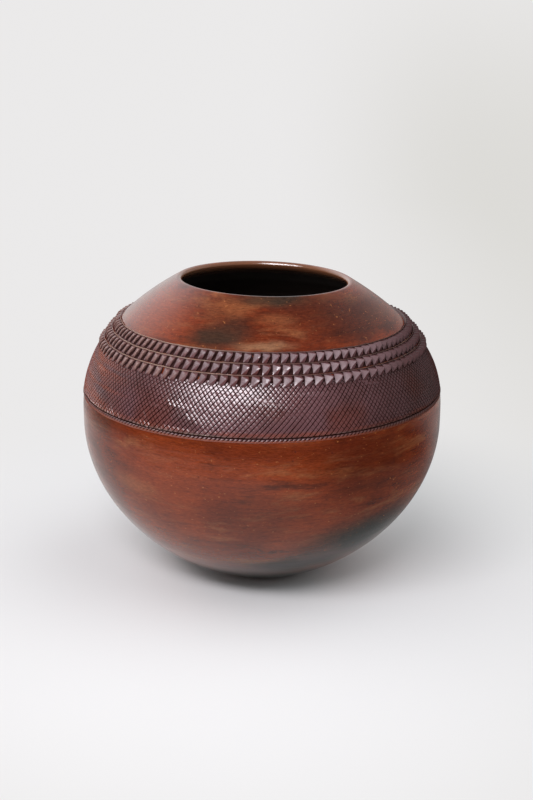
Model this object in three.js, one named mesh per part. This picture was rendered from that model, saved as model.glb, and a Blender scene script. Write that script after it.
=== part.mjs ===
// A round, open-mouthed beer pot of burnished red-brown clay, in millimetres, +Z up.
// It is built up as such pots are: a base pad, rings of clay pressed onto each other with
// bevelled laps, a closing rim, and three notched ridges laid round the shoulder.
// The origin is the middle of the flat base, on the surface that the pot stands on.

import * as THREE from 'three';

// Body
const POT_HEIGHT = 251.3; // to the crest of the lip
const BELLY_RADIUS = 150;
const BELLY_HEIGHT = 131;
const BASE_RADIUS = 46;
const MOUTH_RADIUS = 71; // to the crest of the lip
const WALL = 6;
const FLOOR = 7;
const SEAM_GAP = 0.3; // clearance between any two pieces laid against each other

// Outline: where the wall leaves the base and the lip, and how full it is between
const FOOT_ANGLE = 24; // degrees above the floor
const FOOT_FULLNESS = 98;
const BELLY_FULLNESS = 30;
const SHOULDER_FULLNESS = 94;
const SHOULDER_ANGLE = 32.5; // degrees below the level, at the lip

// Coils, all measured along the outside of the wall
const LAP = 4; // how much higher a seam comes out inside than outside
const BASE_SKIRT = 20;
const LOWER_COILS = 5;
const RIM_COIL_WIDTH = 24;
const RIDGE_COIL_MARGIN = 1.5; // wall of the ridge coil left bare above the top ridge

// Hatched band
const BORDER_ABOVE_BELLY = 25.7;
const BAND_WIDTH = 40.4;
const HATCH_LINES = 60; // round the band in each direction: every third one of the deep lines
const HATCH_ROWS = 5; // half diamonds from the foot of the band to its top
const HATCH_CROWN_PROUD = 1; // middle of the diamonds between the lines
const HATCH_LINE_PROUD = 0.1; // floor of the lines
const BORDER_LIP_WIDTH = 2.6;
const BORDER_LIP_PROUD = 0.5;
const GROOVE_WIDTH = 1.2;

// Notched ridges, from the lowest to the highest
const RIDGE_NOTCHES = [106, 106, 110];
const RIDGE_NAMES = ['lower_ridge', 'middle_ridge', 'upper_ridge'];
const RIDGE_WIDTH = 9;
const RIDGE_SPACING = 0.6; // bare wall between two ridges
const LEDGE_WIDTH = 0.9; // the unbroken strip that is left along a ridge's top
const LEDGE_PROUD = 2.1;
const APEX_PROUD = 3.4;
const NOTCH_PROUD = 0.6;
const APEX_DOWN = 4.5; // from the ridge's top edge to the apex of each tooth
const NOTCH_DOWN = 5; // from the top edge to the deepest point of each notch
const APEX_PHASE = 0.68; // how far along from one notch to the next the apex lies

// Facets
const SEGMENTS = 60;
const OUTER_STEPS = 3;
const INNER_STEPS = 2;
const LIP_STEPS = 3;
const SKIRT_STEPS = 2;

// Clay colours
const BURNISHED_RED = 0x8a4d39;
const BURNISHED_DARK = 0x794030;
const SMOKED_GREY = 0x5b5250;
const SHOULDER_BROWN = 0x79442f;
const CARVED_CLAY = 0x74595a;
const BURNISHED_ROUGHNESS = 0.34;
const CARVED_ROUGHNESS = 0.5;

const degrees = THREE.MathUtils.degToRad;

// The outline runs up the outside of the wall, x being the radius and y the height.
const lipRadius = WALL / 2;
const shoulderSlope = degrees(SHOULDER_ANGLE);
const footSlope = degrees(FOOT_ANGLE);
const lipStart = new THREE.Vector2(
  MOUTH_RADIUS + lipRadius * Math.sin(shoulderSlope),
  POT_HEIGHT - lipRadius * (1 - Math.cos(shoulderSlope)),
);
const lowerOutline = new THREE.CubicBezierCurve(
  new THREE.Vector2(BASE_RADIUS, 0),
  new THREE.Vector2(
    BASE_RADIUS + FOOT_FULLNESS * Math.cos(footSlope),
    FOOT_FULLNESS * Math.sin(footSlope),
  ),
  new THREE.Vector2(BELLY_RADIUS, BELLY_HEIGHT - BELLY_FULLNESS),
  new THREE.Vector2(BELLY_RADIUS, BELLY_HEIGHT),
);
const upperOutline = new THREE.CubicBezierCurve(
  new THREE.Vector2(BELLY_RADIUS, BELLY_HEIGHT),
  new THREE.Vector2(BELLY_RADIUS, BELLY_HEIGHT + BELLY_FULLNESS),
  new THREE.Vector2(
    lipStart.x + SHOULDER_FULLNESS * Math.cos(shoulderSlope),
    lipStart.y - SHOULDER_FULLNESS * Math.sin(shoulderSlope),
  ),
  lipStart,
);
const lowerLength = lowerOutline.getLength();
const outlineLength = lowerLength + upperOutline.getLength();

// Point of the wall at a distance along the outline, moved out by a height above the skin.
function wallPoint(distance, proud = 0) {
  const onLower = distance < lowerLength;
  const curve = onLower ? lowerOutline : upperOutline;
  const along = onLower
    ? distance / lowerLength
    : (distance - lowerLength) / (outlineLength - lowerLength);
  const u = THREE.MathUtils.clamp(along, 0, 1);
  const point = curve.getPointAt(u);
  const tangent = curve.getTangentAt(u);
  return new THREE.Vector2(point.x + proud * tangent.y, point.y - proud * tangent.x);
}

function wallLine(from, to, steps, proud) {
  const points = [];
  for (let i = 0; i <= steps; i += 1) {
    points.push(wallPoint(THREE.MathUtils.lerp(from, to, i / steps), proud));
  }
  return points;
}

// A closed section is listed up the outside and down the inside.
function revolve(section) {
  const geometry = new THREE.LatheGeometry(section, SEGMENTS);
  geometry.rotateX(Math.PI / 2);
  return geometry;
}

function closedRing(section) {
  return revolve([...section, section[0].clone()]);
}

// Seams between coils slope up into the pot, so half a gap along the wall is a little more
// than half of the clearance square to the seam.
const halfSeam = (SEAM_GAP / 2) * Math.hypot(WALL, LAP) / WALL;

function innerLine(from, to) {
  return wallLine(to + LAP - halfSeam, from + LAP + halfSeam, INNER_STEPS, -WALL);
}

function coil(from, to) {
  const outside = wallLine(from + halfSeam, to - halfSeam, OUTER_STEPS, 0);
  return closedRing([...outside, ...innerLine(from, to)]);
}

// Distances along the outline where one piece gives way to the next
const borderStart = lowerLength + BORDER_ABOVE_BELLY;
const bandEnd = borderStart + BAND_WIDTH;
const ridgePitch = RIDGE_WIDTH + RIDGE_SPACING;
const ridgesEnd = bandEnd + RIDGE_NAMES.length * ridgePitch;
const ridgeCoilEnd = ridgesEnd + RIDGE_COIL_MARGIN;
const rimStart = outlineLength - RIM_COIL_WIDTH;

// Flat-bottomed pad with a turned-up skirt
function basePad() {
  const skirt = wallLine(0, BASE_SKIRT - halfSeam, SKIRT_STEPS, 0);
  const inside = wallLine(BASE_SKIRT + LAP - halfSeam, 0, SKIRT_STEPS, -WALL);
  return revolve([
    new THREE.Vector2(0, 0),
    ...skirt,
    ...inside,
    new THREE.Vector2(0, FLOOR),
  ]);
}

// Solid between rings of points that run up the outside and down the inside. The points of a
// ring take turns between the two points of its row, the other way round on every other ring,
// and each square is split from one first point to the next.
function alternatingRing(rows, columns) {
  const positions = [];
  const indices = [];
  const index = (row, column) => (row % rows.length) * columns + (column % columns);
  rows.forEach((row, k) => {
    for (let i = 0; i < columns; i += 1) {
      const point = row[(i + k) % 2];
      const angle = (i / columns) * 2 * Math.PI;
      positions.push(point.x * Math.cos(angle), point.x * Math.sin(angle), point.y);
      const corners = [index(k, i), index(k, i + 1), index(k + 1, i + 1), index(k + 1, i)];
      const [a, b, c, d] = corners;
      if ((i + k) % 2) {
        indices.push(a, b, d, b, c, d);
      } else {
        indices.push(a, b, c, a, c, d);
      }
    }
  });
  const geometry = new THREE.BufferGeometry();
  geometry.setAttribute('position', new THREE.Float32BufferAttribute(positions, 3));
  geometry.setIndex(indices);
  geometry.computeVertexNormals();
  return geometry;
}

// The band stands proud of the burnished wall, with a groove and a low lip along its foot. The
// lines that cross it leave rows of low diamonds.
function hatchedCoil() {
  const plain = (point) => [point, point];
  const grooveStart = borderStart + BORDER_LIP_WIDTH;
  const bandStart = grooveStart + GROOVE_WIDTH;
  const bandTop = bandEnd - halfSeam;
  const lines = wallLine(bandStart, bandTop, HATCH_ROWS, HATCH_LINE_PROUD);
  const crowns = wallLine(bandStart, bandTop, HATCH_ROWS, HATCH_CROWN_PROUD);
  const rows = [
    plain(wallPoint(borderStart + halfSeam)),
    plain(wallPoint(borderStart + BORDER_LIP_WIDTH / 2, BORDER_LIP_PROUD)),
    plain(wallPoint(grooveStart + GROOVE_WIDTH / 2)),
    ...lines.map((line, k) => [line, crowns[k]]),
    plain(wallPoint(bandTop)),
    ...innerLine(borderStart, bandEnd).map(plain),
  ];
  return alternatingRing(rows, 2 * HATCH_LINES);
}

// The wall ends in a half-round lip, with a facet corner on its crest.
function rimCoil() {
  const outside = wallLine(rimStart + halfSeam, outlineLength, OUTER_STEPS, 0);
  const centre = wallPoint(outlineLength, -lipRadius);
  const crest = Math.PI / 2;
  const lipEnd = crest + Math.PI - shoulderSlope;
  const lip = [];
  for (let i = 0; i < LIP_STEPS; i += 1) {
    const turn = THREE.MathUtils.lerp(crest, lipEnd, i / LIP_STEPS);
    lip.push(new THREE.Vector2(
      centre.x + lipRadius * Math.cos(turn),
      centre.y + lipRadius * Math.sin(turn),
    ));
  }
  const inside = wallLine(outlineLength, rimStart + LAP + halfSeam, INNER_STEPS, -WALL);
  return closedRing([...outside, ...lip, ...inside]);
}

// A strip of clay round the wall, notched from below into slanted teeth. Every tooth is a
// lopsided pyramid of four facets that hangs from an unbroken ledge. The list of five
// points for each tooth is: upper foot, edge of the ledge, notch, lower foot and apex.
function notchedRidge(start, notches) {
  const top = start + RIDGE_WIDTH;
  const upperFoot = wallPoint(top, SEAM_GAP);
  const ledgeEdge = wallPoint(top - LEDGE_WIDTH, LEDGE_PROUD);
  const notchFloor = wallPoint(top - NOTCH_DOWN, NOTCH_PROUD);
  const lowerFoot = wallPoint(start, SEAM_GAP);
  const apex = wallPoint(top - APEX_DOWN, APEX_PROUD);
  const positions = [];
  const indices = [];
  const place = (point, angle) => {
    positions.push(point.x * Math.cos(angle), point.x * Math.sin(angle), point.y);
  };
  const pitch = 2 * Math.PI / notches;
  for (let i = 0; i < notches; i += 1) {
    place(upperFoot, i * pitch);
    place(ledgeEdge, i * pitch);
    place(notchFloor, i * pitch);
    place(lowerFoot, i * pitch);
    place(apex, (i + APEX_PHASE) * pitch);
    const [foot, ledge, notch, heel, tip] = [0, 1, 2, 3, 4].map((k) => i * 5 + k);
    const after = ((i + 1) % notches) * 5;
    const [nextFoot, nextLedge, nextNotch, nextHeel] = [0, 1, 2, 3].map((k) => after + k);
    indices.push(
      ledge, nextLedge, nextFoot,
      ledge, nextFoot, foot,
      foot, nextFoot, nextHeel,
      foot, nextHeel, heel,
      ledge, tip, nextLedge,
      ledge, notch, tip,
      notch, heel, tip,
      heel, nextHeel, tip,
      nextHeel, nextNotch, tip,
      nextNotch, nextLedge, tip,
    );
  }
  const geometry = new THREE.BufferGeometry();
  geometry.setAttribute('position', new THREE.Float32BufferAttribute(positions, 3));
  geometry.setIndex(indices);
  geometry.computeVertexNormals();
  return geometry;
}

const pot = new THREE.Group();
pot.name = 'pot';

function addPiece(name, geometry, color, roughness) {
  const material = new THREE.MeshStandardMaterial({ color, roughness, metalness: 0 });
  const mesh = new THREE.Mesh(geometry, material);
  mesh.name = name;
  pot.add(mesh);
}

addPiece('base_pad', basePad(), SMOKED_GREY, BURNISHED_ROUGHNESS);

const lowerCoilWidth = (borderStart - BASE_SKIRT) / LOWER_COILS;
for (let i = 0; i < LOWER_COILS; i += 1) {
  const from = BASE_SKIRT + i * lowerCoilWidth;
  const color = i % 2 ? BURNISHED_RED : BURNISHED_DARK;
  addPiece(`wall_coil_${i + 1}`, coil(from, from + lowerCoilWidth), color, BURNISHED_ROUGHNESS);
}

addPiece('hatched_coil', hatchedCoil(), CARVED_CLAY, CARVED_ROUGHNESS);
addPiece('ridge_coil', coil(bandEnd, ridgeCoilEnd), SHOULDER_BROWN, BURNISHED_ROUGHNESS);
addPiece('shoulder_coil', coil(ridgeCoilEnd, rimStart), SHOULDER_BROWN, BURNISHED_ROUGHNESS);
addPiece('rim_coil', rimCoil(), BURNISHED_RED, BURNISHED_ROUGHNESS);

RIDGE_NAMES.forEach((name, i) => {
  const start = bandEnd + RIDGE_SPACING + i * ridgePitch;
  addPiece(name, notchedRidge(start, RIDGE_NOTCHES[i]), CARVED_CLAY, CARVED_ROUGHNESS);
});

export default pot;
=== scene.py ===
"""Looks of a burnished clay beer pot: coiled wall, three notched ridges and a hatched band.

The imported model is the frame. Every piece below is made in metres around it, with the pot standing
on z = 0, its axis on the Z axis and the side that the camera sees towards -Y.
"""
import math

import bmesh
import bpy
import numpy as np
from bpy.props import FloatProperty, FloatVectorProperty, IntProperty, PointerProperty
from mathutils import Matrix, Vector


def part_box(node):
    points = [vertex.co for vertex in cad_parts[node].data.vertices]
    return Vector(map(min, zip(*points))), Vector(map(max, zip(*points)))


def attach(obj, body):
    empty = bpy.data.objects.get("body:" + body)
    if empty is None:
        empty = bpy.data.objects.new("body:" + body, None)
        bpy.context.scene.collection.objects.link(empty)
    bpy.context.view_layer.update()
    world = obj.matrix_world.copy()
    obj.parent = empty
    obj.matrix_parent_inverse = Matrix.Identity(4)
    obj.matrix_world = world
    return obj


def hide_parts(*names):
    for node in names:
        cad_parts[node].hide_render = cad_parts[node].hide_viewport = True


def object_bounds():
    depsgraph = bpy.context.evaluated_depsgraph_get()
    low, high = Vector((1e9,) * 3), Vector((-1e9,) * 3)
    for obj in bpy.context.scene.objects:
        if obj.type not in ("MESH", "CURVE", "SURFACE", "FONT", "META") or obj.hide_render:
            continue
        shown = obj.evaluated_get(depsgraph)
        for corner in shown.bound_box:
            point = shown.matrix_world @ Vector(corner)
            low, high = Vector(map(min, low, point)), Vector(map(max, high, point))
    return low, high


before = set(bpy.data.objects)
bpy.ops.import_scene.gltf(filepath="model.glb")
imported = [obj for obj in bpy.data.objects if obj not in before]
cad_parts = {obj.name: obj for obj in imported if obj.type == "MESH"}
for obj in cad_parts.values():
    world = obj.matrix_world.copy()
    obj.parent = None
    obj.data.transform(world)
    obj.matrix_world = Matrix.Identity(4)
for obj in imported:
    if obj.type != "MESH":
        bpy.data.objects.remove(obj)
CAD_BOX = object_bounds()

bl_info = {
    "name": "Burnished Beer Pot",
    "version": (1, 0, 0),
    "blender": (4, 5, 0),
    "location": "View3D > Sidebar > Beer Pot",
    "description": "Builds the finished surfaces of a coil-built clay pot with notched ridges and hatching",
    "category": "Object",
}

MM = 0.001
TURN = 2 * math.pi

# Facts that come from the frame: outer size, and where the band and the ridges lie
BELLY_RADIUS = (CAD_BOX[1][0] - CAD_BOX[0][0]) / 2
FULL_HEIGHT = CAD_BOX[1][2]
BORDER_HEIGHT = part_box("hatched_coil")[0][2]
LOWEST_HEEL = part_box("lower_ridge")[0][2]


def length(name, description, default):
    """A property that holds a size in metres."""
    return FloatProperty(name=name, description=description, default=default, unit="LENGTH",
                         subtype="DISTANCE", precision=5)


def angle(name, description, degrees):
    """A property that holds an angle."""
    return FloatProperty(name=name, description=description, default=math.radians(degrees),
                         unit="ROTATION", subtype="ANGLE")


def colour(name, description, default):
    """A property that holds a colour."""
    return FloatVectorProperty(name=name, description=description, default=default, subtype="COLOR",
                               size=3, min=0.0, max=1.0)


def number(name, description, default):
    """A property that holds a plain number."""
    return FloatProperty(name=name, description=description, default=default)


def count(name, description, default):
    """A property that holds a count."""
    return IntProperty(name=name, description=description, default=default, min=1)


class WallSizes(bpy.types.PropertyGroup):
    """Sizes of the pot's wall."""

    belly_height: length("Belly height", "Height of the widest part", 131 * MM)
    base_radius: length("Base radius", "Radius of the flat base", 46 * MM)
    mouth_radius: length("Mouth radius", "Radius of the lip's crest", 71 * MM)
    lip_radius: length("Lip radius", "Radius of the rounded lip", 3 * MM)
    thickness: length("Wall", "Thickness of the wall", 6 * MM)
    floor: length("Floor", "Thickness of the floor", 7 * MM)
    foot_angle: angle("Foot angle", "Rise of the wall where it leaves the base", 24)
    foot_pull: length("Foot pull", "How far the wall keeps its first direction", 98 * MM)
    belly_pull: length("Belly pull", "How far the wall stays upright at the belly", 28 * MM)
    shoulder_angle: angle("Shoulder angle", "Fall of the shoulder at the lip", 30.4)
    shoulder_pull: length("Shoulder pull", "How far the shoulder keeps its last direction", 94.7 * MM)
    lean: angle("Lean", "How far the upper pot has settled towards +X", 1.71)
    lean_start: length("Lean start", "Height where the settling begins", 178 * MM)
    lean_span: length("Lean span", "Height over which the settling grows", 70 * MM)
    unevenness: length("Unevenness", "How far the hand-built wall wanders", 0.2 * MM)
    segments: count("Segments", "Facets round the wall", 288)


class RidgeSizes(bpy.types.PropertyGroup):
    """Sizes of the three notched ridges."""

    width: length("Width", "Width of a ridge, measured along the wall", 9.4 * MM)
    pitch: length("Pitch", "Distance from one ridge to the next", 9.6 * MM)
    teeth_lower: count("Lower teeth", "Teeth in the lower ridge", 106)
    teeth_middle: count("Middle teeth", "Teeth in the middle ridge", 106)
    teeth_upper: count("Upper teeth", "Teeth in the upper ridge", 110)
    crest_proud: length("Crest", "How far the teeth stand out", 3.6 * MM)
    notch_floor: length("Notch floor", "Height of the notch's floor over the wall's face", 0.15 * MM)
    facet_start: length("Facet start", "How far the cut facet stands out beside the notch", 0.9 * MM)
    swell: number("Swell", "How much thicker the ridges are on the right and thinner on the left", 0.2)
    wander: length("Wander", "How far the hand-cut teeth stray", 0.45 * MM)


class HatchingSizes(bpy.types.PropertyGroup):
    """Sizes of the hatched band and its nicked border."""

    stripes: count("Stripes", "Deep lines that rise to the right", 216)
    crossings: count("Crossings", "Fine lines that rise to the left", 244)
    stripe_slope: angle("Stripe slope", "Slope of the deep lines", 48)
    crossing_slope: angle("Crossing slope", "Slope of the fine lines", 53)
    slope_wander: angle("Slope wander", "How far the slope of the deep lines strays", 2.5)
    stripe_depth: length("Stripe depth", "Depth of the deep lines", 1.0 * MM)
    crossing_depth: length("Crossing depth", "Depth of the fine lines", 0.75 * MM)
    proud: length("Proud", "How far the band stands out from the wall", 0.15 * MM)
    swelling: length("Swelling", "How far the clay between the lines bulges", 0.35 * MM)
    groove: length("Border groove", "Width of the groove under the band", 0.8 * MM)
    lip: length("Border lip", "Width of the nicked lip under the groove", 3.0 * MM)
    nicks: count("Nicks", "Nicks in the lip", 280)
    bed: length("Bed", "How far the wall is sunk under the band", 2.2 * MM)


class ClayColours(bpy.types.PropertyGroup):
    """Colours of the fired clay."""

    red: colour("Red clay", "Burnished clay of the belly", (0.119, 0.0176, 0.0046))
    orange: colour("Orange clay", "Where the fire burned cleanest", (0.216, 0.0365, 0.0082))
    tan: colour("Tan clay", "Lighter, browner patches left by the rubbing", (0.230, 0.0780, 0.0280))
    gold: colour("Gold clay", "Small flecks of the lightest clay", (0.420, 0.1500, 0.0450))
    deep: colour("Deep clay", "Darker burnished clay", (0.045, 0.0090, 0.0035))
    # Ochre also paints the highlight on the lip's crest and on the inner face below it
    ochre: colour("Ochre clay", "Pale patch above the ridges", (0.230, 0.110, 0.055))
    smoke: colour("Smoke", "Fire clouds on the shoulder", (0.034, 0.020, 0.012))
    ash: colour("Ash", "Blue-grey fire cloud under the belly", (0.018, 0.019, 0.0165))
    # Smoke-blackened clay inside, which is also painted shade of the dark inside of the pot
    soot_and_shade: colour("Soot", "Inside of the pot", (0.030, 0.0200, 0.0140))
    carved: colour("Carved clay", "Faces of the ridges and the hatching", (0.121, 0.049, 0.053))
    # Used as a painted highlight on the raised parts of the teeth on the left
    skin: colour("Worn skin", "Backs of the teeth where the ridges are worn", (0.250, 0.140, 0.118))
    # Painted shade: the dark floors of notches, grooves and nicks, and the shaded right side of the carving
    cut: colour("Cut clay", "Floors of notches and grooves", (0.030, 0.014, 0.012))
    # Knife-cut facets, painted pale lavender as a highlight
    knife_cut_and_sheen: colour("Knife cut", "Smooth facets of the teeth", (0.190, 0.130, 0.135))
    # Pale worn edges of the ridges, the band and the nicks, which also carry their painted highlight,
    # stronger on the left
    dust_and_highlight: colour("Dust", "Pale edges of the ridges", (0.440, 0.310, 0.240))


class StudioSettings(bpy.types.PropertyGroup):
    """Floor, lamp, light of the room and camera."""

    floor: colour("Floor", "Colour of the floor and backdrop", (0.71, 0.712, 0.695))
    near: length("Floor near", "Radius round the pot where the floor only shows its shading", 0.10)
    far: length("Floor far", "Radius from which the backdrop shows its own colour", 0.50)
    key: number("Key", "Power of the large lamp at the upper left, in watts", 22.4)
    key_azimuth: angle("Key azimuth", "How far to the left of the camera the lamp stands", 24)
    key_rise: angle("Key rise", "How high the lamp stands", 42)
    key_distance: length("Key distance", "From the pot to the lamp", 1.7)
    sky: number("Sky", "Strength of the light from the bright side of the room", 1.30)
    gloom: number("Gloom", "Strength of the light from the dark side of the room", 0.11)
    pale_wall: number("Pale wall", "Strength of the light from behind the pot on the right", 0.28)
    left_fill: number("Left fill", "Light from the left, for matt surfaces", 1.05)
    right_fill: number("Right fill", "Light from the right, for matt surfaces", 1.45)
    ceiling: number("Ceiling", "Brightness of the ceiling for matt surfaces", 0.06)
    window: number("Window", "Brightness of the window behind the camera in reflections", 4.8)
    table_edge: length("Table edge", "Distance where the pale table begins to end in reflections", 0.43)
    table_left: number("Table left", "Brightness of the table's left side in reflections", 0.73)
    table_right: number("Table right", "Brightness of the table's right side in reflections", 0.16)
    distance: length("Camera distance", "From the pot's axis to the camera, along the floor", 1.0)
    height: length("Camera height", "Camera above the floor", 0.4564)
    tilt: angle("Camera tilt", "How far the camera looks down", 17.364)
    lens: number("Lens", "Focal length in millimetres", 55.68)
    axis_pixel: number("Axis", "Column of the 533 pixel wide image where the pot's axis lies", 262.0)


class BeerPot(bpy.types.PropertyGroup):
    """Everything that can be changed about the pot."""

    wall: PointerProperty(type=WallSizes)
    ridges: PointerProperty(type=RidgeSizes)
    hatching: PointerProperty(type=HatchingSizes)
    colours: PointerProperty(type=ClayColours)
    studio: PointerProperty(type=StudioSettings)


# The wall's outline, as points (radius, height) and their distance along the wall

class Outline:
    """Outer face of the wall from the base's edge to the lip, measured along the clay."""

    def __init__(self, wall):
        rise = wall.mouth_radius * math.sin(wall.lean)
        top = FULL_HEIGHT - rise
        start = Vector((wall.base_radius, 0))
        foot = Vector((math.cos(wall.foot_angle), math.sin(wall.foot_angle))) * wall.foot_pull
        belly = Vector((BELLY_RADIUS - wall.unevenness, wall.belly_height))
        upright = Vector((0, wall.belly_pull))
        lip_turn = Vector((math.sin(wall.shoulder_angle), math.cos(wall.shoulder_angle) - 1))
        self.lip_start = Vector((wall.mouth_radius, top)) + lip_turn * wall.lip_radius
        fall = Vector((math.cos(wall.shoulder_angle), -math.sin(wall.shoulder_angle)))
        lower = self.curve(start, start + foot, belly - upright, belly)
        upper = self.curve(belly, belly + upright, self.lip_start + fall * wall.shoulder_pull,
                           self.lip_start)
        self.points = np.vstack([lower, upper[1:]])
        steps = np.linalg.norm(np.diff(self.points, axis=0), axis=1)
        self.distances = np.concatenate([[0], np.cumsum(steps)])
        self.length = self.distances[-1]

    @staticmethod
    def curve(a, b, c, d, steps=400):
        """A cubic curve through a and d that heads for b and comes from c."""
        t = np.linspace(0, 1, steps)[:, None]
        a, b, c, d = (np.array(p) for p in (a, b, c, d))
        return a * (1 - t) ** 3 + 3 * b * t * (1 - t) ** 2 + 3 * c * t * t * (1 - t) + d * t ** 3

    def at(self, distance, proud=0.0):
        """Radius and height of points at these distances, standing proud of the wall."""
        step = 0.2 * MM
        here = self.place(distance)
        along = self.place(np.asarray(distance) + step) - self.place(np.asarray(distance) - step)
        along /= np.linalg.norm(along, axis=-1, keepdims=True)
        out = np.stack([along[..., 1], -along[..., 0]], axis=-1)
        return here + out * np.asarray(proud)[..., None]

    def place(self, distance):
        """Radius and height of points on the wall itself."""
        return np.stack([np.interp(distance, self.distances, self.points[:, k]) for k in (0, 1)], axis=-1)

    def distance_at(self, height):
        """Distance along the wall at a height."""
        return float(np.interp(height, self.points[:, 1], self.distances))


def around(section, azimuth):
    """Points in space from (radius, height) and an azimuth that is 0 at the front and grows to the right."""
    radius, height = section[..., 0], section[..., 1]
    return np.stack([radius * np.sin(azimuth), -radius * np.cos(azimuth), height], axis=-1)


def settle(points, wall):
    """The upper pot has settled a little to one side, so points above lean_start turn about the Y axis."""
    x, y, z = points.T
    turn = wall.lean * np.clip((z - wall.lean_start) / wall.lean_span, 0, 1)
    rise = z - wall.lean_start
    return np.stack([x * np.cos(turn) + rise * np.sin(turn), y,
                     wall.lean_start + rise * np.cos(turn) - x * np.sin(turn)], axis=1)


def waver(azimuth, height, seed, waves=((3, 21), (5, 34), (8, 55), (13, 90))):
    """A smooth pattern between about -1 and 1 that closes round the pot, for what a hand makes uneven."""
    total = np.zeros(np.broadcast(azimuth, height).shape)
    for k, (turns, climb) in enumerate(waves):
        phase = seed * (1.7 + k) + 2.4 * k
        total += np.sin(turns * azimuth + climb * height + phase) * np.cos(
            (turns - 1) * azimuth - 0.6 * climb * height + 1.3 * phase) / (1 + 0.5 * k)
    return total / 2.2


# Meshes

def shade(mesh, sharp=None):
    """Shades a mesh smoothly, but for the edges that are sharper than an angle in degrees."""
    mesh.polygons.foreach_set("use_smooth", [True] * len(mesh.polygons))
    if sharp:
        mesh.set_sharp_from_angle(angle=math.radians(sharp))


def new_object(name, data):
    """A new object in the scene, at the origin."""
    made = bpy.data.objects.new(name, data)
    bpy.context.scene.collection.objects.link(made)
    return made


def mesh_object(name, points, faces):
    """A new object from points and faces."""
    mesh = bpy.data.meshes.new(name)
    mesh.from_pydata([tuple(p) for p in points], [], [tuple(f) for f in faces])
    mesh.validate()
    shade(mesh)
    return new_object(name, mesh)


def paint(mesh, domain="POINT", **layers):
    """Stores named numbers for each point or face of a mesh."""
    for name, values in layers.items():
        layer = mesh.attributes.new(name, "FLOAT", domain)
        layer.data.foreach_set("value", np.asarray(values, dtype=np.float32))


def name_kinds(mesh, kinds):
    """Stores which kind of cut each point belongs to."""
    mesh.attributes.new("kind", "INT", "POINT").data.foreach_set("value", kinds)


def read_points(mesh):
    """The points of a mesh as an array."""
    flat = np.empty(len(mesh.vertices) * 3, dtype=np.float32)
    mesh.vertices.foreach_get("co", flat)
    return flat.reshape(-1, 3).astype(float)


def write_points(mesh, points):
    """Moves the points of a mesh."""
    mesh.vertices.foreach_set("co", points.astype(np.float32).ravel())
    mesh.update()


def ring_faces(rows, columns):
    """Faces of a grid whose last row joins its first."""
    for i in range(rows):
        after = (i + 1) % rows
        for j in range(columns - 1):
            yield (i * columns + j, after * columns + j, after * columns + j + 1, i * columns + j + 1)


def finish_piece(piece, slot, *nodes):
    """A finished piece rides on the pot and stands for its nodes."""
    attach(piece, "root")
    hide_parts(*nodes)


def bake_nodes(piece, tree, values):
    """Runs a node tree on a carved piece and keeps the result as its plain mesh."""
    values = {**values, "Material": shared_material("cut_wall")}
    modifier = piece.modifiers.new("shape", "NODES")
    modifier.node_group = tree
    for socket in tree.interface.items_tree:
        if socket.item_type == "SOCKET" and socket.in_out == "INPUT" and socket.name in values:
            modifier[socket.identifier] = values[socket.name]
    piece.update_tag()
    graph = bpy.context.evaluated_depsgraph_get()
    made = bpy.data.meshes.new_from_object(piece.evaluated_get(graph), depsgraph=graph)
    piece.modifiers.remove(modifier)
    old = piece.data
    piece.data = made
    made.name = old.name
    bpy.data.meshes.remove(old)


# Node trees

def add_node(tree, kind, values=None, **settings):
    """Adds a node, sets its properties, and fills its inputs with plain values or links."""
    made = tree.nodes.new(kind)
    for name, setting in settings.items():
        setattr(made, name, setting)
    for key, value in (values or {}).items():
        if isinstance(value, bpy.types.NodeSocket):
            tree.links.new(value, made.inputs[key])
        else:
            made.inputs[key].default_value = value
    return made


def math_of(tree, operation, *values):
    """One step of arithmetic, as an output socket."""
    return add_node(tree, "ShaderNodeMath", dict(enumerate(values)), operation=operation).outputs[0]


def product_of(tree, product, *factors):
    """Several values multiplied."""
    for factor in factors:
        product = math_of(tree, "MULTIPLY", product, factor)
    return product


def line_of(tree, value, slope, start):
    """A value times a slope, plus a start."""
    return math_of(tree, "MULTIPLY_ADD", value, slope, start)


def vector_of(tree, operation, *values):
    """One step of vector arithmetic, as an output socket."""
    made = add_node(tree, "ShaderNodeVectorMath", dict(enumerate(values)), operation=operation)
    return made.outputs["Value" if operation in ("DOT_PRODUCT", "LENGTH", "DISTANCE") else 0]


def axes_of(tree, vector):
    """The X, Y and Z of a vector, as output sockets."""
    return add_node(tree, "ShaderNodeSeparateXYZ", {0: vector}).outputs


def blend_of(tree, share, a, b, mode="MIX"):
    """Two colours mixed by a share, as an output socket."""
    made = add_node(tree, "ShaderNodeMix", {0: share}, data_type="RGBA", blend_type=mode)
    for key, value in ((6, a), (7, b)):
        if isinstance(value, bpy.types.NodeSocket):
            tree.links.new(value, made.inputs[key])
        else:
            made.inputs[key].default_value = (*value, 1.0)
    return made.outputs[2]


def wash(tree, share, strength, base, layer):
    """A base colour with a layer of another over a share of it, at this strength."""
    return blend_of(tree, product_of(tree, share, strength), base, layer)


def ramp_of(tree, value, low, high):
    """A value's share of the way from low to high, eased at both ends and kept between 0 and 1."""
    return add_node(tree, "ShaderNodeMapRange", {0: value, 1: low, 2: high},
                    interpolation_type="SMOOTHSTEP").outputs[0]


def spread_of(tree, value, low, high, start, end):
    """Goes evenly from start to end while a value goes from low to high."""
    return add_node(tree, "ShaderNodeMapRange", {0: value, 1: low, 2: high, 3: start, 4: end}).outputs[0]


def choice_of(tree, share, off, on):
    """One value where the share is 0 and another where it is 1."""
    return spread_of(tree, share, 0.0, 1.0, off, on)


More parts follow.
